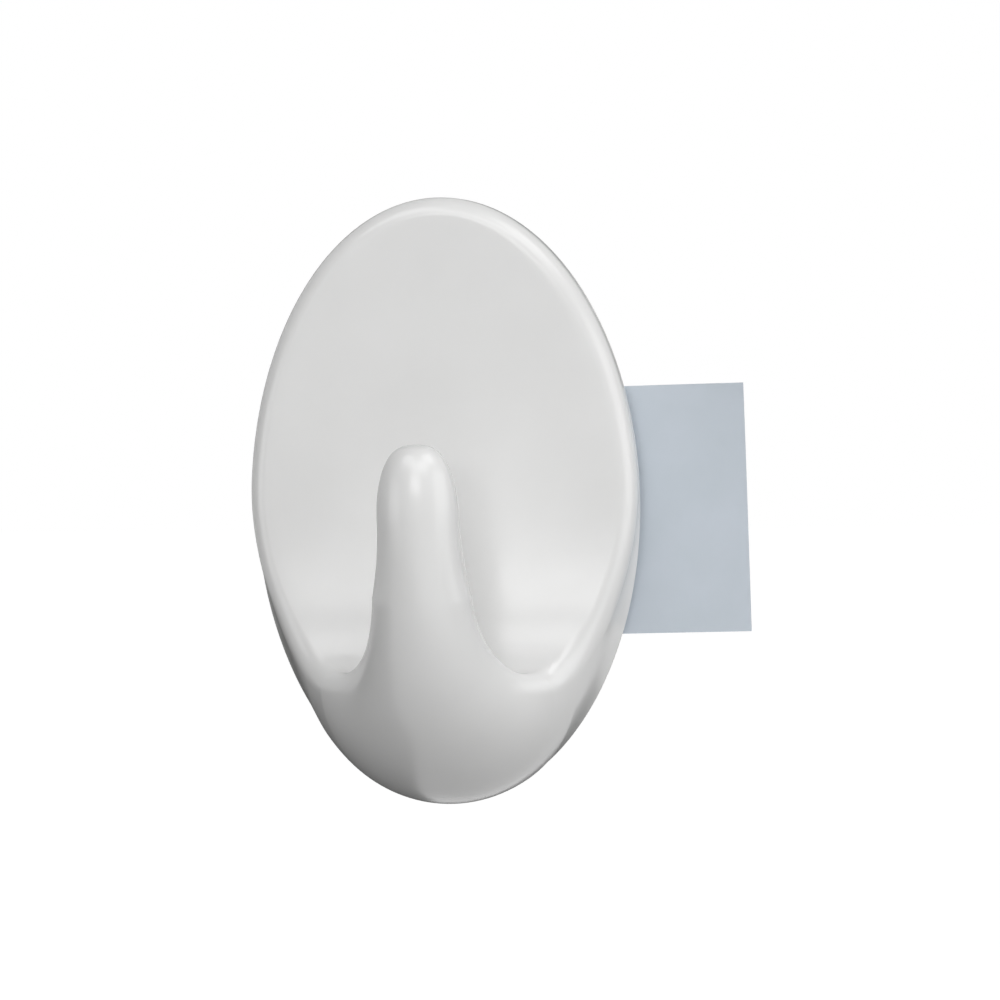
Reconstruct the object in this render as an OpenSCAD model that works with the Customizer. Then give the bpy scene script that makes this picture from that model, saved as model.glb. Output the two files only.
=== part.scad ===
// Adhesive wall hook. One glossy moulding: an oval plate whose foot sweeps forward
// as a round chin, turns up through an open throat and ends in one rounded finger.
// Behind it sits a strip of double-sided foam tape, whose release liner sticks out
// at one side as a pull tab.
// +Z is up and the front faces -Y. The origin lies on the wall side of the liner,
// behind the middle of the plate.

/* [Plate] */
// Height of the oval plate
plate_h = 60; // [56:1:68]
// Width of the oval plate
plate_w = 38.5; // [36:0.5:46]
// Thickness of the plate at its top
plate_t = 3; // [2.6:0.1:3.6]
// Radius of the rounding along the plate's front rim
rim_r = 1.8; // [1.2:0.1:2.2]
// How far the front face swells forward on its way down to the throat
swell = 0.5; // [0.2:0.1:1]
// Height above the plate's middle at which the swell begins
swell_top = 22; // [16:1:25]

/* [Throat] */
// Height above the plate's middle at which the front face starts to turn forward
throat_top = 3; // [1:0.5:6]
// Drop of the throat's floor below the plate's middle
floor_drop = 15.7; // [14:0.1:17]
// Distance of the floor's lowest line from the plate's back
floor_reach = 9; // [8:0.1:10]

/* [Front] */
// Drop below the plate's middle at which the front is furthest forward
front_drop = 0; // [0:0.5:6]
// Distance of that place from the plate's back
front_reach = 20; // [19:0.1:23]
// Drop of the place where the chin's front turns into the finger's
front_root_drop = 8; // [6.5:0.5:10]

/* [Core] */
// Wall left above and below the recess that is cored out of the chin from behind
core_wall = 2.4; // [2.2:0.1:3]
// Width of the recess in the plate's back
core_w = 16; // [12:0.5:17]
// Depth of the recess
core_d = 11; // [7:0.5:12]
// How much higher the recess ends than it starts
core_rise = 1.5; // [0:0.1:2]

/* [Finger] */
// Width of the finger where it leaves the throat
root_w = 9.4; // [8.4:0.1:10.4]
// Width of the finger below its tip
finger_w = 7.7; // [6.6:0.1:8.4]
// Distance of the finger's back from the plate's back, where it leaves the throat
finger_back = 12.8; // [11.8:0.1:13.4]
// Drop of that place below the plate's middle
root_drop = 7; // [5.5:0.1:8.5]
// How far the finger's back leans forward on its way up
back_lean = 1.2; // [0.6:0.1:2]
// Height of the finger's top above the plate's middle
tip_rise = 6.9; // [6:0.1:9]
// Length of the finger's domed end
tip_l = 6.8; // [5:0.1:7.5]
// Depth of the rounding along the finger's back edges
finger_round = 3; // [2.4:0.1:3.4]

/* [Tape] */
// Width of the foam tape, which stands upright behind the plate
tape_w = 24.5; // [20:0.5:28]
// Length of the foam tape across the plate
tape_l = 31; // [26:0.5:32]
// Drop of the tape's middle below the plate's middle
tape_drop = 1.4; // [0:0.1:3]
// Turn of the hand-laid tape, in degrees
tape_turn = 1.2; // [0:0.1:2]
// Thickness of the foam
foam_t = 1; // [0.8:0.1:1.6]
// Thickness of each coat of adhesive
glue_t = 0.1; // [0.08:0.01:0.2]
// Thickness of the release liner
liner_t = 0.12; // [0.1:0.01:0.2]
// Length of liner that sticks out past the tape as a pull tab
tab_l = 14.2; // [10:0.1:18]

/* [Hidden] */

// The plate's back stands off the wall by the whole tape.
stand_off = liner_t + glue_t + foam_t + glue_t;
half_w = plate_w / 2;
half_h = plate_h / 2;
throat_l = throat_top + floor_drop;
finger_base = tip_rise - tip_l;
core_top = -floor_drop - core_wall;
core_bottom = -half_h + core_wall;

// Pull of the throat's curves at their two ends, plate side and then finger side.
plate_side_shares = [0.55, 0.62];
finger_side_shares = [0.55, 0.55];
// Part of the throat's plate side that faces the back edge. The rest faces the chin.
corner_share = 0.8;
// How soon the moulding narrows from the plate's width to the finger's.
flare_power = 0.8;
// Part of the half width that the finger's rounded back edges take.
round_w_share = 0.72;
// Turn, in degrees, from the plate's top to the end of the small flat that is left there.
start_turn = 2;
// How full the finger's dome is. At 1 it is half of an ellipsoid, and below that blunter.
dome_power = 0.7;
// The same for the recess behind the chin, and how square its mouth's corners are.
core_power = 0.9;
core_squareness = 2.2;
// Part of a dome's quarter turn that is built before its small flat end.
dome_share = 0.985;

// Rows of points: down the plate, round to the bottom corner, along the chin,
// up the finger, and over its tip.
plate_rows = 36;
root_rows = 20;
chin_rows = 20;
finger_rows = 7;
tip_rows = 9;
// Rings of points from the mouth of the recess to its end, and points along the belt
// that parts the plate's back above it.
core_rings = 7;
belt_cols = 12;
// Columns of points in half a row: along its side, round its edge, across its face.
side_cols = 9;
edge_cols = 6;
face_cols = 5;

function mix(a, b, t) = a + (b - a) * t;
function bezier(a, b, c, d, t) =
    mix(mix(mix(a, b, t), mix(b, c, t), t), mix(mix(b, c, t), mix(c, d, t), t), t);

// Half width of the oval at height z.
function oval(z) = half_w * sqrt(max(0, 1 - (z / half_h) ^ 2));

// Distance of the front face from the back at height z, above the throat.
function face_reach(z) =
    plate_t + swell * (max(0, swell_top - z) / (swell_top - throat_top)) ^ 2;

// Slope of the front face where the throat starts, and of the finger's back.
face_slope = 2 * swell / (swell_top - throat_top);
back_slope = back_lean / (finger_base + root_drop);

// The throat in profile, as [reach, height]. From s = 0 to 1 it runs down the plate
// to the floor, and from 1 to 2 it rises to the finger's back.
function throat(s) = s <= 1 ? plate_side(s) : finger_side(s - 1);
function plate_side(s) =
    let (start = [face_reach(throat_top), throat_top],
         drop = plate_side_shares[0] * throat_l,
         run = plate_side_shares[1] * (floor_reach - start.x))
    bezier(start, start + [face_slope * drop, -drop],
        [floor_reach - run, -floor_drop], [floor_reach, -floor_drop], s);
function finger_side(s) =
    let (run = finger_side_shares[0] * (finger_back - floor_reach),
         climb = finger_side_shares[1] * (floor_drop - root_drop))
    bezier([floor_reach, -floor_drop], [floor_reach + run, -floor_drop],
        [finger_back - back_slope * climb, -root_drop - climb],
        [finger_back, -root_drop], s);

// The front in profile is part of an ellipse, which starts at the plate's lowest point.
front_h = half_h - front_drop;
function front(turn) = [front_reach * sin(turn), -front_drop - front_h * cos(turn)];
function front_turn(drop) = acos((drop - front_drop) / front_h);

// 1 where the moulding is as wide as the plate, 0 where it is as narrow as the finger.
function flare(s) = ((1 + cos(90 * s)) / 2) ^ flare_power;

// A row is [inner point, outer point, half width, half width at the outer point,
// width of its rounded edge, depth of its rounded edge, on the plate].
function plate_row(turn) =
    let (z = half_h * cos(turn), w = oval(z))
    [[face_reach(z), z], [0, z], w, w, rim_r, rim_r, true];

// Below the throat's top each row tilts, until one ends at the plate's lowest point.
function throat_row(s, outer, outer_w) =
    let (inner = throat(s), f = flare(s))
    [inner, outer, mix(root_w / 2, oval(inner.y), f), outer_w,
        mix(round_w_share * root_w / 2, rim_r, f), mix(finger_round, rim_r, f), false];

function root_row(u) =
    let (s = corner_share * u,
         fall = half_h + throat(corner_share).y,
         z = u < 1 ? throat(s).y - fall * u ^ 3 : -half_h)
    throat_row(s, [0, z], oval(z));

// Past the lowest point the rows close round the chin.
function chin_row(u) =
    throat_row(mix(corner_share, 2, u), front(front_turn(front_root_drop) * u), 0);

function finger_row(u) =
    let (w = mix(root_w, finger_w, 1 - (1 - u) ^ 2) / 2)
    [[finger_back + back_lean * u, mix(-root_drop, finger_base, u)],
        front(front_turn(mix(front_root_drop, -finger_base, u))),
        w, 0, round_w_share * w, finger_round, false];

// Over the tip the finger's back and front start with the slopes that they have below
// it and straighten, while the dome closes them.
function tip_row(u) =
    let (turn = 90 * dome_share * u,
         full = cos(turn) ^ dome_power,
         rise = tip_l * sin(turn),
         lean = rise * (1 - sin(turn) / 2),
         back = finger_back + back_lean + back_slope * lean,
         last = front_turn(-finger_base),
         front = front(last).x + lean * front_reach / front_h / tan(last),
         middle = (back + front) / 2,
         half_t = full * (front - back) / 2,
         w = full * finger_w / 2)
    [[middle - half_t, finger_base + rise], [middle + half_t, finger_base + rise], w, 0,
        round_w_share * w, full * finger_round, false];

turn_to_throat = acos(throat_top / half_h);
hook_rows = concat(
    [for (i = [0 : plate_rows]) plate_row(mix(start_turn, turn_to_throat, i / plate_rows))],
    [for (i = [1 : root_rows]) root_row(sin(90 * i / root_rows))],
    [for (i = [1 : chin_rows]) chin_row(i / chin_rows)],
    [for (i = [1 : finger_rows]) finger_row(i / finger_rows)],
    [for (i = [1 : tip_rows]) tip_row(i / tip_rows)]);

// How far the rounded rim falls away behind the front face at (x, z).
function rim_fall(x, z) =
    let (s = norm([x / half_w, z / half_h]),
         slope = norm([x / half_w ^ 2, z / half_h ^ 2]),
         inset = s < 1 ? s * (1 - s) / slope : 0)
    inset < rim_r ? rim_r - sqrt(rim_r ^ 2 - (rim_r - inset) ^ 2) : 0;

// Right half of a row as [x, distance from the outer point], from its outer point
// round the side and the edge to the middle of the inner face. The more a row closes
// at its outer point, the closer its points lie together there.
function row_profile(row) =
    let (l = norm(row[0] - row[1]),
         w = row[2], outer_w = row[3],
         round_w = row[4], round_d = min(row[5], l / 2), side = l - round_d,
         closing = max(0, 1 - outer_w / w),
         side_part = [for (j = [0 : side_cols - 1])
             let (t = mix(j / side_cols, 1 - cos(90 * j / side_cols), closing))
             [sqrt(w ^ 2 - (w ^ 2 - outer_w ^ 2) * (1 - t) ^ 2), side * t]],
         edge_part = [for (j = [0 : edge_cols])
             [w - round_w * (1 - cos(90 * j / edge_cols)),
                 l - round_d * (1 - sin(90 * j / edge_cols))]],
         face_part = [for (j = [1 : face_cols]) [(w - round_w) * (1 - j / face_cols), l]])
    concat(side_part, edge_part, face_part);

// On the plate the rim is rounded square to the oval, so its fall replaces the edge's.
function plate_profile(row) =
    let (l = row[0].x, z = row[0].y, w = row[2],
         round_w = min(row[4], round_w_share * w),
         side_part = [for (j = [0 : side_cols - 1]) [w, (l - rim_r) * j / side_cols]],
         xs = concat([for (j = [0 : edge_cols]) w - round_w * (1 - cos(90 * j / edge_cols))],
             [for (j = [1 : face_cols]) (w - round_w) * (1 - j / face_cols)]))
    concat(side_part, [for (x = xs) [x, l - rim_fall(x, z)]]);

// A whole row in space, from the right edge over the face to the left edge.
function row_points(row) =
    let (half = row[6] ? plate_profile(row) : row_profile(row),
         way = (row[0] - row[1]) / norm(row[0] - row[1]),
         last = len(half) - 1,
         both = concat(half, [for (j = [1 : last]) [-half[last - j].x, half[last - j].y]]))
    [for (p = both)
        let (q = row[1] + way * p.y)
        [p.x, -stand_off - q.x, q.y]];

row_n = len(hook_rows);
face_mid = side_cols + edge_cols + face_cols;
col_n = 2 * face_mid + 1;
corner_row = plate_rows + root_rows;

// The rows from the lowest point on are closed loops: their last point is the first.
function point_at(i, j) = i * col_n + (i >= corner_row && j == col_n - 1 ? 0 : j);

hook_points = [for (row = hook_rows) each row_points(row)];
function back_point(i, side) = point_at(i, side > 0 ? 0 : col_n - 1);

// A straight belt parts the plate's back above the recess. It lies on the last row that
// leaves half a wall above the mouth.
belt_row = max([for (i = [0 : corner_row])
    if (hook_rows[i][1].y > core_top + core_wall / 2) i]);
belt_ends = [for (side = [-1, 1]) hook_points[back_point(belt_row, side)]];
belt_points = [for (n = [1 : belt_cols - 1]) mix(belt_ends[0], belt_ends[1], n / belt_cols)];
belt = [for (n = [0 : belt_cols - 2]) len(hook_points) + n];

// Outline of the back below the belt: down its right side, up its left, along the belt.
foot = concat([for (i = [belt_row : corner_row]) back_point(i, 1)],
    [for (i = [corner_row - 1 : -1 : belt_row]) back_point(i, -1)], belt);
foot_n = len(foot);

// The recess has a point for each point of that outline, in line with its own middle.
core_mid = (core_top + core_bottom) / 2;
core_h = core_top - core_bottom;
outer_points = concat(hook_points, belt_points);
function core_radius(way) =
    (abs(2 * way.x / core_w) ^ core_squareness + abs(2 * way.y / core_h) ^ core_squareness)
        ^ (-1 / core_squareness);
function core_ring(u) =
    let (turn = 90 * dome_share * u, full = cos(turn) ^ core_power)
    [for (n = [0 : foot_n - 1])
        let (from = outer_points[foot[n]],
             line = [from.x, from.z - core_mid],
             way = line / norm(line),
             r = full * core_radius(way))
        [r * way.x, -stand_off - core_d * sin(turn), core_mid + core_rise * sin(turn) + r * way.y]];
core_points = [for (k = [0 : core_rings]) each core_ring(k / core_rings)];
function core_at(k, n) = len(outer_points) + k * foot_n + n % foot_n;

// Two triangles between four points, which are given clockwise as seen from outside.
function patch(a, b, c, d) = [[a, b, c], [a, c, d]];

module moulding() {
    skin = [for (i = [0 : row_n - 2]) for (j = [0 : col_n - 2])
        each patch(point_at(i, j), point_at(i + 1, j),
            point_at(i + 1, j + 1), point_at(i, j + 1))];
    top_flat = [[for (j = [0 : col_n - 1]) point_at(0, (face_mid + j) % col_n)]];
    tip_flat = [[for (j = [col_n - 2 : -1 : 0]) point_at(row_n - 1, j)]];
    back_above = [concat([for (i = [0 : belt_row]) back_point(i, -1)], belt,
        [for (i = [belt_row : -1 : 0]) back_point(i, 1)])];
    back_below = [for (n = [0 : foot_n - 1])
        each patch(core_at(0, n), core_at(0, n + 1), foot[(n + 1) % foot_n], foot[n])];
    core = [for (k = [0 : core_rings - 1]) for (n = [0 : foot_n - 1])
        each patch(core_at(k + 1, n), core_at(k + 1, n + 1), core_at(k, n + 1), core_at(k, n))];
    core_end = [[for (n = [foot_n - 1 : -1 : 0]) core_at(core_rings, n)]];
    polyhedron(points = concat(outer_points, core_points),
        faces = concat(skin, top_flat, tip_flat, back_above, back_below, core, core_end));
}

// A layer of the tape: behind it the layers between it and the wall, at its right
// end any length that sticks out past the tape.
module tape_layer(behind, thick, past_end) {
    translate([0, 0, -tape_drop])
        rotate([0, -tape_turn, 0])
            translate([-tape_l / 2, -behind - thick, -tape_w / 2])
                cube([tape_l + past_end, thick, tape_w]);
}

module hook_body() {
    color([0.93, 0.93, 0.92]) moulding();
}

module hook_adhesive() {
    color([0.86, 0.87, 0.82]) tape_layer(liner_t + glue_t + foam_t, glue_t, 0);
}

module foam_pad() {
    color([0.95, 0.95, 0.93]) tape_layer(liner_t + glue_t, foam_t, 0);
}

module wall_adhesive() {
    color([0.86, 0.87, 0.82]) tape_layer(liner_t, glue_t, 0);
}

module release_liner() {
    color([0.74, 0.78, 0.82]) tape_layer(0, liner_t, tab_l);
}

hook_body();
hook_adhesive();
foam_pad();
wall_adhesive();
release_liner();
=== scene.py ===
import math
from collections import namedtuple

import bmesh
import bpy
import numpy as np
from mathutils import Matrix, Vector


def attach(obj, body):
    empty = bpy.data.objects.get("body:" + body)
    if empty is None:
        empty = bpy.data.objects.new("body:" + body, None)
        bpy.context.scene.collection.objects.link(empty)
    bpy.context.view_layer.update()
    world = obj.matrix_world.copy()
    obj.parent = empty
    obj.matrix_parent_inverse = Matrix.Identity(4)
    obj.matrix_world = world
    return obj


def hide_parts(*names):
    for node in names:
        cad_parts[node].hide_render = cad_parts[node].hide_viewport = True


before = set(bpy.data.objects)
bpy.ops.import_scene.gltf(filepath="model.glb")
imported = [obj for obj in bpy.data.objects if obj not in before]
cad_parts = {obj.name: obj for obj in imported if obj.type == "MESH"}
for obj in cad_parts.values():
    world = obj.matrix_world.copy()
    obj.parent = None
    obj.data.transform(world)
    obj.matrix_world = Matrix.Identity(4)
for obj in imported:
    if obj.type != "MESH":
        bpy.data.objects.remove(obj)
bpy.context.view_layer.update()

# Adhesive wall hook, in metres. The wall's plane is y = 0, the finger points up and
# towards -y, and z = 0 is level with the middle of the oval plate.


# The hook is one injection moulding in polished white plastic. The oval plate swells
# forward into a round chin, and the chin narrows and turns up into a blunt finger, so
# that an open throat is left between the finger and the plate.
mm = 0.001
plate_h = 60 * mm
plate_w = 38.5 * mm
plate_t = 3 * mm
rim_r = 1.8 * mm
swell = 0.5 * mm
swell_top = 22 * mm
throat_top = 3 * mm
floor_drop = 15.7 * mm
floor_reach = 9 * mm
front_reach = 20 * mm
front_root_drop = 8 * mm
core_wall = 2.4 * mm
core_w = 16 * mm
core_d = 11 * mm
core_rise = 1.5 * mm
root_w = 9.4 * mm
finger_w = 7.7 * mm
finger_back = 12.8 * mm
root_drop = 7 * mm
back_lean = 1.2 * mm
tip_rise = 6.9 * mm
tip_l = 6.8 * mm
finger_round = 3 * mm
liner_t = 0.12 * mm
glue_t = 0.1 * mm
foam_t = 1 * mm
stand_off = liner_t + glue_t + foam_t + glue_t

# What follows from those sizes, and the shares and powers that shape the curves.
half_w = plate_w / 2
half_h = plate_h / 2
throat_l = throat_top + floor_drop
finger_base = tip_rise - tip_l
face_slope = 2 * swell / (swell_top - throat_top)
back_slope = back_lean / (finger_base + root_drop)
core_top = -floor_drop - core_wall
core_bottom = -half_h + core_wall
core_mid = (core_top + core_bottom) / 2
core_h = core_top - core_bottom
mouth_r = 0.35 * mm
plate_side_shares = (0.55, 0.62)
finger_side_shares = (0.55, 0.55)
corner_share = 0.8
flare_power = 0.8
round_w_share = 0.72
dome_power = 0.7
core_power = 0.9
core_squareness = 2.2
dome_share = 0.985

# A row is one line across the moulding. It has its inner and outer point in profile, half
# its width at each, the size of the rounding at its inner edge, and whether it is plate.
Row = namedtuple("Row", "inner outer half_w outer_w round_w round_d on_plate")


def mix(a, b, t):
    """A value between a and b, at a share t of the way."""
    return a + (b - a) * t


def bezier(a, b, c, d, t):
    """A point on the curve from a to d that b and c draw towards themselves."""
    s = 1 - t
    return a * s ** 3 + 3 * b * s * s * t + 3 * c * s * t * t + d * t ** 3


def at(reach, height):
    """A point in profile: its distance from the plate's back, and its height."""
    return np.array([reach, height])


def oval(height):
    """Half width of the oval plate at a height."""
    return half_w * math.sqrt(max(0.0, 1 - (height / half_h) ** 2))


def face_reach(height):
    """Distance of the front face from the plate's back, above the throat."""
    share = max(0.0, swell_top - height) / (swell_top - throat_top)
    return plate_t + swell * share ** 2


def throat(s):
    """The throat in profile: down the plate for s from 0 to 1, up the finger from 1 to 2."""
    floor = at(floor_reach, -floor_drop)
    if s <= 1:
        start = at(face_reach(throat_top), throat_top)
        drop = plate_side_shares[0] * throat_l
        run = plate_side_shares[1] * (floor_reach - start[0])
        return bezier(start, start + at(face_slope * drop, -drop), floor - at(run, 0), floor, s)
    end = at(finger_back, -root_drop)
    run = finger_side_shares[0] * (finger_back - floor_reach)
    climb = finger_side_shares[1] * (floor_drop - root_drop)
    return bezier(floor, floor + at(run, 0), end - at(back_slope * climb, climb), end, s - 1)


def front(turn):
    """The front in profile, part of an ellipse that starts at the plate's lowest point."""
    return at(front_reach * math.sin(turn), -half_h * math.cos(turn))


def front_turn(drop):
    """The turn along that ellipse at which the front is this far below the plate's middle."""
    return math.acos(drop / half_h)


def throat_row(s, outer, outer_w):
    """A row through the throat, as wide as the plate at s = 0 and as the finger at s = 2."""
    inner = throat(s)
    flare = ((1 + math.cos(math.pi / 2 * s)) / 2) ** flare_power
    w = mix(root_w / 2, oval(inner[1]), flare)
    round_w = mix(round_w_share * root_w / 2, rim_r, flare)
    return Row(inner, outer, w, outer_w, round_w, mix(finger_round, rim_r, flare), False)


def steps(count):
    """Equal steps from just above 0 up to 1."""
    return [(i + 1) / count for i in range(count)]


def moulding_rows(plate_rows=130, under_rows=80, chin_rows=80, finger_rows=30, tip_rows=36):
    """Rows down the plate, round the lowest point, up the chin and the finger, over its tip."""
    rows = []
    start_turn = math.radians(1)
    for u in [0.0] + steps(plate_rows):
        height = half_h * math.cos(mix(start_turn, math.acos(throat_top / half_h), u))
        w = oval(height)
        rows.append(Row(at(face_reach(height), height), at(0, height), w, w, rim_r, rim_r, True))
    fall = half_h + throat(corner_share)[1]
    for k in steps(under_rows):
        u = math.sin(math.pi / 2 * k)
        height = throat(corner_share * u)[1] - fall * u ** 3 if k < 1 else -half_h
        rows.append(throat_row(corner_share * u, at(0, height), oval(height)))
    for u in steps(chin_rows):
        outer = front(front_turn(front_root_drop) * u)
        rows.append(throat_row(mix(corner_share, 2, u), outer, 0.0))
    for u in steps(finger_rows):
        w = mix(root_w, finger_w, 1 - (1 - u) ** 2) / 2
        rows.append(Row(at(finger_back + back_lean * u, mix(-root_drop, finger_base, u)),
                        front(front_turn(mix(front_root_drop, -finger_base, u))),
                        w, 0.0, round_w_share * w, finger_round, False))
    last = front_turn(-finger_base)
    for u in steps(tip_rows):
        turn = math.pi / 2 * dome_share * u
        full = math.cos(turn) ** dome_power
        rise = tip_l * math.sin(turn)
        lean = rise * (1 - math.sin(turn) / 2)
        back_reach = finger_back + back_lean + back_slope * lean
        front_now = front(last)[0] + lean * front_reach / half_h / math.tan(last)
        middle = at((back_reach + front_now) / 2, finger_base + rise)
        half_t = at(full * (front_now - back_reach) / 2, 0)
        w = full * finger_w / 2
        rows.append(Row(middle - half_t, middle + half_t, w, 0.0,
                        round_w_share * w, full * finger_round, False))
    return rows


def rim_fall(x, height):
    """How far the rounded rim falls away behind the front face."""
    s = math.hypot(x / half_w, height / half_h)
    if s >= 1:
        return rim_r
    inset = half_w
    if s > 0:
        inset = s * (1 - s) / math.hypot(x / half_w ** 2, height / half_h ** 2)
    return rim_r - math.sqrt(rim_r ** 2 - (rim_r - inset) ** 2) if inset < rim_r else 0.0


def half_profile(row, side_cols=30, edge_cols=16, face_cols=16):
    """Right half of a row, as (x, distance from the outer point) pairs."""
    length = np.linalg.norm(row.inner - row.outer)
    w = row.half_w
    quarter = [math.pi / 2 * j / edge_cols for j in range(edge_cols + 1)]
    if row.on_plate:
        round_w = min(row.round_w, round_w_share * w)
        points = [(w, (length - rim_r) * j / side_cols) for j in range(side_cols)]
        xs = [w - round_w * (1 - math.cos(turn)) for turn in quarter]
        xs += [(w - round_w) * (1 - u) for u in steps(face_cols)]
        return points + [(x, length - rim_fall(x, row.inner[1])) for x in xs]
    round_d = min(row.round_d, length / 2)
    closing = max(0.0, 1 - row.outer_w / w)
    points = []
    for j in range(side_cols):
        u = mix(j / side_cols, 1 - math.cos(math.pi / 2 * j / side_cols), closing)
        x = math.sqrt(w ** 2 - (w ** 2 - row.outer_w ** 2) * (1 - u) ** 2)
        points.append((x, (length - round_d) * u))
    points += [(w - row.round_w * (1 - math.cos(turn)), length - round_d * (1 - math.sin(turn)))
               for turn in quarter]
    points += [((w - row.round_w) * (1 - u), length) for u in steps(face_cols)]
    return points


def object_from(name, verts, faces, joined=0.0001 * mm):
    """A smooth object with its doubled points joined and its faces turned outwards."""
    mesh = bpy.data.meshes.new(name)
    mesh.from_pydata([tuple(v) for v in verts], [], faces)
    build = bmesh.new()
    build.from_mesh(mesh)
    bmesh.ops.remove_doubles(build, verts=build.verts, dist=joined)
    bmesh.ops.dissolve_degenerate(build, edges=build.edges, dist=joined)
    bmesh.ops.recalc_face_normals(build, faces=build.faces)
    for face in build.faces:
        face.smooth = True
    build.to_mesh(mesh)
    build.free()
    piece = bpy.data.objects.new(name, mesh)
    bpy.context.scene.collection.objects.link(piece)
    return piece


def sharpen(piece, degrees=40):
    """Keeps edges that turn by more than an angle crisp under smooth shading."""
    build = bmesh.new()
    build.from_mesh(piece.data)
    for edge in build.edges:
        edge.smooth = edge.calc_face_angle(0.0) < math.radians(degrees)
    build.to_mesh(piece.data)
    build.free()


def recess_ring(outline, depth):
    """A ring round the recess at a depth, with a point in line with each of an outline."""
    share = depth / core_d
    full = (1 - share ** 2) ** (core_power / 2)
    fall = max(0.0, mouth_r - depth)
    rounding = mouth_r - math.sqrt(mouth_r ** 2 - fall ** 2)
    ring = []
    for x, y, z in outline:
        line = np.array([x, z - core_mid])
        way = line / np.linalg.norm(line)
        edges = np.abs(way / np.array([core_w / 2, core_h / 2])) ** core_squareness
        r = full * edges.sum() ** (-1 / core_squareness) + rounding
        ring.append((r * way[0], -stand_off - depth, core_mid + core_rise * share + r * way[1]))
    return ring


def moulding_mesh(belt_cols=36, mouth_rings=5, core_rings=26):
    """The rows joined into one skin, closed across the flat back round the recess."""
    rows = moulding_rows()
    verts = []
    for row in rows:
        half = half_profile(row)
        way = (row.inner - row.outer) / np.linalg.norm(row.inner - row.outer)
        both = half + [(-x, along) for x, along in half[-2::-1]]
        for x, along in both:
            reach, height = row.outer + way * along
            verts.append((x, -stand_off - reach, height))
    cols = len(verts) // len(rows)
    faces = []
    for i in range(len(rows) - 1):
        for j in range(cols - 1):
            a = i * cols + j
            faces.append((a, a + 1, a + cols + 1, a + cols))
    faces.append(tuple(range(cols - 1, -1, -1)))
    faces.append(tuple(range((len(rows) - 1) * cols, len(rows) * cols)))

    corner = next(i for i, row in enumerate(rows) if row.outer_w == 0)
    belt = max(i for i in range(corner) if rows[i].outer[1] > core_top + core_wall / 2)
    for i in range(belt - 1):
        a = i * cols
        faces.append((a, a + cols, a + 2 * cols - 1, a + cols - 1))
    ring = [i * cols for i in range(belt, corner + 1)]
    ring += [(i + 1) * cols - 1 for i in range(corner - 1, belt - 1, -1)]
    left, right = (np.array(verts[k]) for k in (ring[-1], ring[0]))
    between = list(range(len(verts), len(verts) + belt_cols - 1))
    verts += [tuple(mix(left, right, n / belt_cols)) for n in range(1, belt_cols)]
    faces.append((ring[0] - cols, ring[-1] - cols, ring[-1], *between, ring[0]))
    ring += between
    outline = [verts[k] for k in ring]
    depths = [mouth_r * (1 - math.cos(math.pi / 2 * u)) for u in [0.0] + steps(mouth_rings)]
    start_turn = math.asin(mouth_r / core_d)
    end_turn = math.pi / 2 * dome_share
    depths += [core_d * math.sin(mix(start_turn, end_turn, u)) for u in steps(core_rings)]
    for depth in depths:
        inner_ring = list(range(len(verts), len(verts) + len(ring)))
        verts += recess_ring(outline, depth)
        for n in range(len(ring)):
            m = (n + 1) % len(ring)
            faces.append((ring[n], ring[m], inner_ring[m], inner_ring[n]))
        ring = inner_ring
    faces.append(tuple(ring))
    return verts, faces


moulding = object_from("hook_moulding", *moulding_mesh())
sharpen(moulding)


def new_material(name):
    """A material with its shader and its place coordinates, for the nodes that follow."""
    material = bpy.data.materials.new(name)
    material.use_nodes = True
    tree = material.node_tree
    place = tree.nodes.new("ShaderNodeTexCoord")
    return material, tree, tree.nodes["Principled BSDF"], place.outputs["Object"]


def noise(tree, place, size, detail=3.0, roughness=0.5):
    """Soft noise whose spots are about one size across."""
    node = tree.nodes.new("ShaderNodeTexNoise")
    node.inputs["Scale"].default_value = 1 / size
    node.inputs["Detail"].default_value = detail
    node.inputs["Roughness"].default_value = roughness
    tree.links.new(place, node.inputs["Vector"])
    return node.outputs["Fac"]


def ramp(tree, factor, low, high, start=0.3, end=0.7):
    """Turns a factor into a colour between two colours."""
    node = tree.nodes.new("ShaderNodeValToRGB")
    node.color_ramp.elements[0].position = start
    node.color_ramp.elements[0].color = (*low, 1)
    node.color_ramp.elements[1].position = end
    node.color_ramp.elements[1].color = (*high, 1)
    tree.links.new(factor, node.inputs["Fac"])
    return node.outputs["Color"]


def level(tree, factor, low, high, start=0.3, end=0.7):
    """Turns a factor into a number between two numbers."""
    node = tree.nodes.new("ShaderNodeMapRange")
    node.inputs["From Min"].default_value = start
    node.inputs["From Max"].default_value = end
    node.inputs["To Min"].default_value = low
    node.inputs["To Max"].default_value = high
    tree.links.new(factor, node.inputs["Value"])
    return node.outputs["Result"]


def bump(tree, shader, heights, depth):
    """Raises the surface by a height between 0 and 1 times a depth."""
    node = tree.nodes.new("ShaderNodeBump")
    node.inputs["Distance"].default_value = depth
    tree.links.new(heights, node.inputs["Height"])
    tree.links.new(node.outputs["Normal"], shader.inputs["Normal"])


white_plastic, tree, shader, place = new_material("polished_white_plastic")
tint = ramp(tree, noise(tree, place, 9 * mm), (0.8, 0.8, 0.794), (0.825, 0.825, 0.82))
tree.links.new(tint, shader.inputs["Base Color"])
haze = level(tree, noise(tree, place, 2.5 * mm, 6.0, 0.6), 0.19, 0.25)
tree.links.new(haze, shader.inputs["Roughness"])
shader.inputs["IOR"].default_value = 1.5
bump(tree, shader, noise(tree, place, 1.4 * mm, 2.0), 0.002 * mm)
moulding.data.materials.append(white_plastic)
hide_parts("hook_body")
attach(moulding, "hook")


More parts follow.
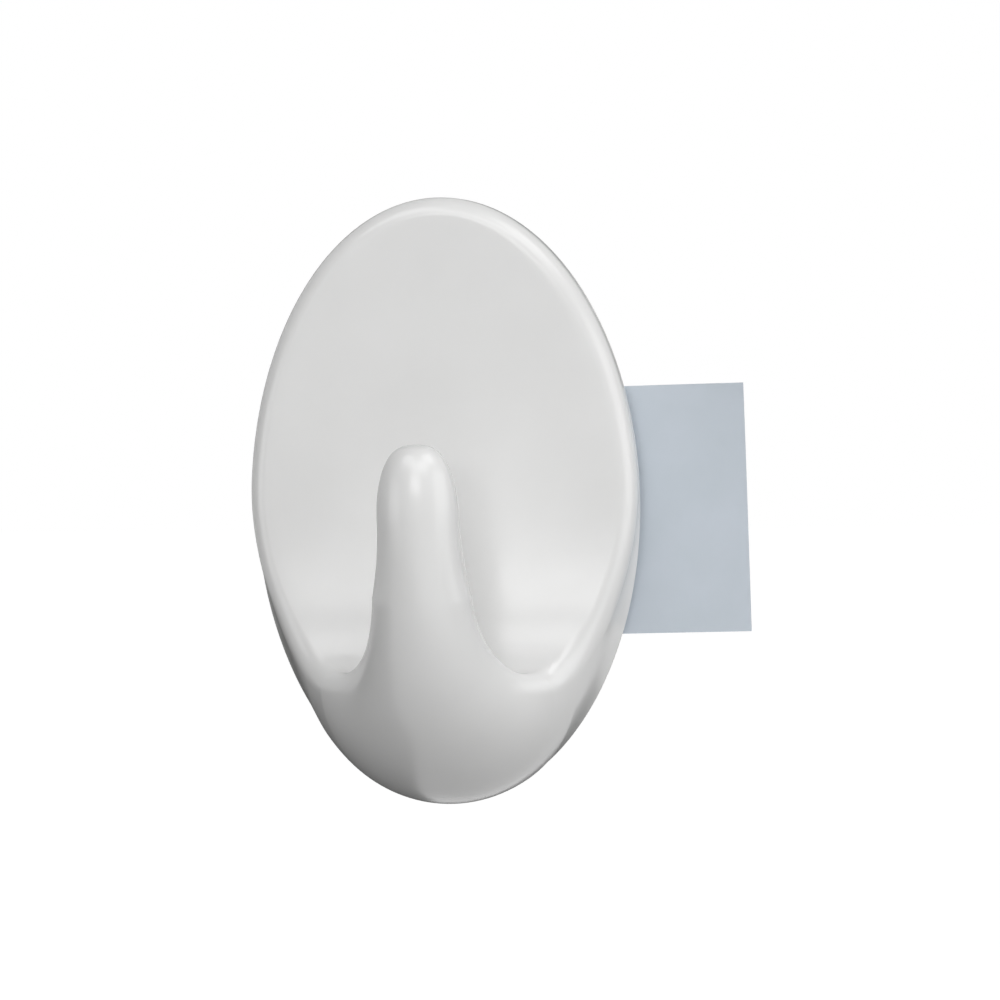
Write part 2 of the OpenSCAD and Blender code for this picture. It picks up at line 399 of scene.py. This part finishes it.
# The strip of mounting tape has a carrier of white closed-cell foam, cut to length by
# a blade. The cut edges swell a little between the two flat faces.
tape_w = 24.5 * mm
tape_l = 31 * mm
tape_drop = 1.4 * mm
tape_turn = math.radians(1.2)
foam_corner = 0.5 * mm
edge_swell = 0.06 * mm
edge_dent = 0.03 * mm
dent_seed = 7


def on_tape(along, across, depth):
    """A place on the strip: along it, across it, and out from the wall."""
    x = along * math.cos(tape_turn) - across * math.sin(tape_turn)
    z = along * math.sin(tape_turn) + across * math.cos(tape_turn) - tape_drop
    return (x, -depth, z)


def foam_mesh(steps_round=260, layers=8, corner_steps=4):
    """The foam as layers from the wall side to the plate, with dented and swollen edges."""
    verts = []
    dents = np.random.default_rng(dent_seed).normal(0.0, 1.0, (layers + 1, steps_round))
    straight_l = tape_l / 2 - foam_corner
    straight_w = tape_w / 2 - foam_corner
    outline = []
    for k, (side_l, side_w) in enumerate(((1, 1), (-1, 1), (-1, -1), (1, -1))):
        for j in range(corner_steps + 1):
            angle = math.pi / 2 * k + math.pi / 2 * j / corner_steps
            outline.append((side_l * straight_l + foam_corner * math.cos(angle),
                            side_w * straight_w + foam_corner * math.sin(angle),
                            math.cos(angle), math.sin(angle)))
    lengths = [math.dist(p[:2], q[:2]) for p, q in zip(outline, outline[1:] + outline[:1])]
    ends = np.cumsum([0.0] + lengths)
    closed = np.array(outline + outline[:1])
    for i in range(layers + 1):
        u = i / layers
        depth = liner_t + glue_t + foam_t * u
        for j in range(steps_round):
            place_round = ends[-1] * j / steps_round
            along, across, out_l, out_w = [np.interp(place_round, ends, line)
                                           for line in closed.T]
            out = edge_swell * math.sin(math.pi * u) if 0 < i < layers else 0.0
            out -= edge_dent * abs(dents[i, j]) * math.sin(math.pi * u)
            verts.append(on_tape(along + out_l * out, across + out_w * out, depth))
    faces = []
    for i in range(layers):
        for j in range(steps_round):
            a = i * steps_round + j
            b = i * steps_round + (j + 1) % steps_round
            faces.append((a, b, b + steps_round, a + steps_round))
    faces.append(tuple(range(steps_round)))
    faces.append(tuple(range(layers * steps_round, (layers + 1) * steps_round)))
    return verts, faces


foam = object_from("foam_carrier", *foam_mesh())
sharpen(foam)
white_foam, tree, shader, place = new_material("closed_cell_foam")
tint = ramp(tree, noise(tree, place, 0.6 * mm), (0.74, 0.74, 0.71), (0.84, 0.84, 0.82))
tree.links.new(tint, shader.inputs["Base Color"])
shader.inputs["Roughness"].default_value = 0.85
cells = tree.nodes.new("ShaderNodeTexVoronoi")
cells.inputs["Scale"].default_value = 1 / (0.16 * mm)
tree.links.new(place, cells.inputs["Vector"])
bump(tree, shader, cells.outputs["Distance"], 0.04 * mm)
foam.data.materials.append(white_foam)
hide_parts("foam_pad")
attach(foam, "hook")


# Each face of the foam carries a coat of clear acrylic adhesive, rolled on in the roll's
# length. It shows as a thin glossy edge and, once the liner is off, as a tacky face.
adhesive, tree, shader, place = new_material("acrylic_adhesive")
tint = ramp(tree, noise(tree, place, 3 * mm), (0.74, 0.74, 0.68), (0.8, 0.8, 0.76))
tree.links.new(tint, shader.inputs["Base Color"])
streaks = tree.nodes.new("ShaderNodeMapping")
streaks.inputs["Scale"].default_value = (0.08, 1, 1)
tree.links.new(place, streaks.inputs["Vector"])
rolled = noise(tree, streaks.outputs["Vector"], 0.35 * mm, 4.0)
tree.links.new(level(tree, rolled, 0.22, 0.4), shader.inputs["Roughness"])
bump(tree, shader, rolled, 0.008 * mm)
for node in ("hook_adhesive", "wall_adhesive"):
    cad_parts[node].material_slots[0].material = adhesive


# The release liner is a light blue-grey coated film. It covers the wall side of the tape
# and runs past its end as a pull tab, whose free corner lifts a little from the cutting.
tab_l = 14.2 * mm
corner_lift = 0.7 * mm
end_lift = 0.15 * mm


def liner_mesh(steps_long=120, steps_wide=64):
    """The film's two faces as grids, and the four strips that close its edges."""
    length = tape_l + tab_l
    verts = []
    for side in (0, 1):
        for i in range(steps_long + 1):
            along = -tape_l / 2 + length * i / steps_long
            free = max(0.0, (along - tape_l / 2) / tab_l)
            for j in range(steps_wide + 1):
                share = j / steps_wide
                lift = free ** 2 * (end_lift + corner_lift * share ** 4)
                verts.append(on_tape(along, (share - 0.5) * tape_w, side * liner_t + lift))
    rows = steps_wide + 1
    back = (steps_long + 1) * rows
    faces = []
    for i in range(steps_long):
        for j in range(steps_wide):
            a = i * rows + j
            faces.append((a, a + 1, a + rows + 1, a + rows))
            faces.append((back + a, back + a + rows, back + a + rows + 1, back + a + 1))
    for i in range(steps_long):
        for a in (i * rows, i * rows + steps_wide):
            faces.append((a, a + rows, back + a + rows, back + a))
    for j in range(steps_wide):
        for a in (j, steps_long * rows + j):
            faces.append((a, a + 1, back + a + 1, back + a))
    return verts, faces


liner = object_from("release_film", *liner_mesh())
sharpen(liner)
liner_film, tree, shader, place = new_material("coated_release_film")
tint = ramp(tree, noise(tree, place, 5 * mm), (0.572, 0.632, 0.69), (0.602, 0.658, 0.724))
tree.links.new(tint, shader.inputs["Base Color"])
satin = level(tree, noise(tree, place, 1.2 * mm, 5.0), 0.4, 0.52)
tree.links.new(satin, shader.inputs["Roughness"])
bump(tree, shader, noise(tree, place, 0.5 * mm, 4.0), 0.004 * mm)
liner.data.materials.append(liner_film)
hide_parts("release_liner")
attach(liner, "liner")


# The studio has a plain pale floor under the hook and a sky behind it. The camera and
# reflections see both as white, and nearly all the light comes from soft boxes and panels.
floor_below = 300 * mm
floor_size = 3.0
near_glow = 0.9
glow_start = 0.35
glow_end = 0.9
floor_mesh = bpy.data.meshes.new("studio_floor")
floor_mesh.from_pydata([(sx * floor_size, sy * floor_size, -floor_below)
                        for sx, sy in ((-1, -1), (1, -1), (1, 1), (-1, 1))], [], [(0, 1, 2, 3)])
floor = bpy.data.objects.new("studio_floor", floor_mesh)
bpy.context.scene.collection.objects.link(floor)


def seen_directly(tree):
    """1 for what the camera, a reflection or a clear material sees, and 0 for plain light."""
    path = tree.nodes.new("ShaderNodeLightPath")
    total = path.outputs["Is Camera Ray"]
    for kind in ("Is Glossy Ray", "Is Transmission Ray"):
        either = tree.nodes.new("ShaderNodeMath")
        either.operation = "MAXIMUM"
        tree.links.new(total, either.inputs[0])
        tree.links.new(path.outputs[kind], either.inputs[1])
        total = either.outputs[0]
    return total


def seen_or_lit(tree, lit, seen, output):
    """Shows one shader to what looks straight at a surface and another to plain light."""
    choice = tree.nodes.new("ShaderNodeMixShader")
    tree.links.new(seen_directly(tree), choice.inputs[0])
    tree.links.new(lit.outputs[0], choice.inputs[1])
    tree.links.new(seen.outputs[0], choice.inputs[2])
    tree.links.new(choice.outputs[0], output.inputs["Surface"])


pale, tree, shader, place = new_material("pale_floor")
shader.inputs["Base Color"].default_value = (0.25, 0.25, 0.25, 1)
shader.inputs["Roughness"].default_value = 1.0
shader.inputs["Specular IOR Level"].default_value = 0.0
away_from_hook = tree.nodes.new("ShaderNodeVectorMath")
away_from_hook.operation = "LENGTH"
tree.links.new(place, away_from_hook.inputs[0])
glow = tree.nodes.new("ShaderNodeEmission")
glow_level = level(tree, away_from_hook.outputs["Value"], near_glow, 1.0, glow_start, glow_end)
tree.links.new(glow_level, glow.inputs["Strength"])
glowing = tree.nodes.new("ShaderNodeAddShader")
tree.links.new(shader.outputs[0], glowing.inputs[0])
tree.links.new(glow.outputs[0], glowing.inputs[1])
seen_or_lit(tree, shader, glowing, tree.nodes["Material Output"])
floor_mesh.materials.append(pale)

sky = bpy.data.worlds.new("studio_sky")
bpy.context.scene.world = sky
sky.use_nodes = True
tree = sky.node_tree
tree.nodes.clear()
faint_sky = tree.nodes.new("ShaderNodeBackground")
faint_sky.inputs["Color"].default_value = (1, 1, 1, 1)
faint_sky.inputs["Strength"].default_value = 0.02
white_sky = tree.nodes.new("ShaderNodeBackground")
white_sky.inputs["Color"].default_value = (1, 1, 1, 1)
seen_or_lit(tree, faint_sky, white_sky, tree.nodes.new("ShaderNodeOutputWorld"))


def way_towards(turn, rise):
    """The way from the hook to a place at a turn to the right and a rise, both in radians."""
    return Vector((math.sin(turn) * math.cos(rise), -math.cos(turn) * math.cos(rise),
                   math.sin(rise)))


def lamp(name, turn, rise, reach, width, height, brightness):
    """A soft box that faces the hook, unseen, at a turn to the right and a rise in degrees."""
    light = bpy.data.lights.new(name, "AREA")
    light.shape = "RECTANGLE"
    light.size = width
    light.size_y = height
    light.energy = brightness * math.pi * width * height
    box = bpy.data.objects.new(name, light)
    box.location = reach * way_towards(math.radians(turn), math.radians(rise))
    box.rotation_euler = box.location.to_track_quat("Z", "Y").to_euler()
    box.visible_camera = False
    bpy.context.scene.collection.objects.link(box)
    return box


lamp("narrow_front_box", turn=-3, rise=14, reach=0.9, width=0.32, height=0.18, brightness=4.7)
lamp("front_panel", turn=9, rise=34, reach=0.9, width=0.6, height=0.28, brightness=3.3)
lamp("left_top_panel", turn=-30, rise=44, reach=0.9, width=0.4, height=0.4, brightness=2.7)
lamp("right_top_box", turn=50, rise=50, reach=0.9, width=0.5, height=0.4, brightness=3.4)
lamp("right_panel", turn=66, rise=8, reach=0.9, width=0.8, height=0.6, brightness=2)
lamp("under_panel", turn=25, rise=-28, reach=0.55, width=0.6, height=0.3, brightness=0.7)
lamp("left_low_panel", turn=-52, rise=2, reach=0.8, width=0.4, height=0.26, brightness=2)
# The back panel only lights: mirrored, it would draw a bright line along the outline.
back_panel = lamp("back_panel", turn=180, rise=10, reach=0.9, width=0.6, height=0.5, brightness=7)
back_panel.visible_glossy = False


# Black cards stand round the hook's back, as in a studio, with one more low at the left.
# The glossy moulding mirrors them in a dark edge, which sets it off from the white behind.
card_gap = 100 * mm
card_near = 130 * mm
card_far = 850 * mm
low_x = -90 * mm
low_near = -60 * mm
low_far = 390 * mm
low_top = -30 * mm
low_bottom = -280 * mm
card_black, tree, shader, place = new_material("card_black")
shader.inputs["Base Color"].default_value = (0.01, 0.01, 0.01, 1)
shader.inputs["Roughness"].default_value = 1.0
shader.inputs["Specular IOR Level"].default_value = 0.0


def black_card(name, corners):
    """A card that only reflections show."""
    mesh = bpy.data.meshes.new(name)
    mesh.from_pydata(corners, [], [(0, 1, 2, 3)])
    mesh.materials.append(card_black)
    card = bpy.data.objects.new(name, mesh)
    card.visible_camera = False
    card.visible_diffuse = False
    card.visible_shadow = False
    bpy.context.scene.collection.objects.link(card)


card_corners = [(-card_gap, -card_gap), (card_gap, -card_gap),
                (card_gap, card_gap), (-card_gap, card_gap)]
for index in range(4):
    (x0, z0), (x1, z1) = card_corners[index - 1], card_corners[index]
    black_card(f"surround_card_{index}", [(x0, card_near, z0), (x1, card_near, z1),
                                          (x1, card_far, z1), (x0, card_far, z0)])
black_card("left_low_card", [(low_x, low_near, low_bottom), (low_x, low_far, low_bottom),
                             (low_x, low_far, low_top), (low_x, low_near, low_top)])


# The camera looks at the plate a little from the right and from above, close enough for
# the finger to look larger, and it is rolled slightly.
turn_right = math.radians(8)
rise = math.radians(5)
roll = math.radians(1.13)
distance = 275 * mm
lens = 100
sensor = 36
picture_px = 1000
plate_middle_px = (446.3, 502.4)
away = way_towards(turn_right, rise)
level_right = (-away).cross(Vector((0, 0, 1))).normalized()
level_up = level_right.cross(-away)
up = level_up * math.cos(roll) + level_right * math.sin(roll)
right = (-away).cross(up)
per_px = sensor / lens * distance / picture_px
aim = (Vector((0, -stand_off, 0)) + right * (picture_px / 2 - plate_middle_px[0]) * per_px
       - up * (picture_px / 2 - plate_middle_px[1]) * per_px)
camera_data = bpy.data.cameras.new("camera")
camera_data.lens = lens
camera_data.sensor_width = sensor
camera_data.clip_start = 0.01
camera = bpy.data.objects.new("camera", camera_data)
camera.location = aim + away * distance
camera.rotation_euler = Matrix((right, up, away)).transposed().to_euler()
bpy.context.scene.collection.objects.link(camera)
bpy.context.scene.camera = camera
bpy.context.scene.view_settings.view_transform = "Standard"
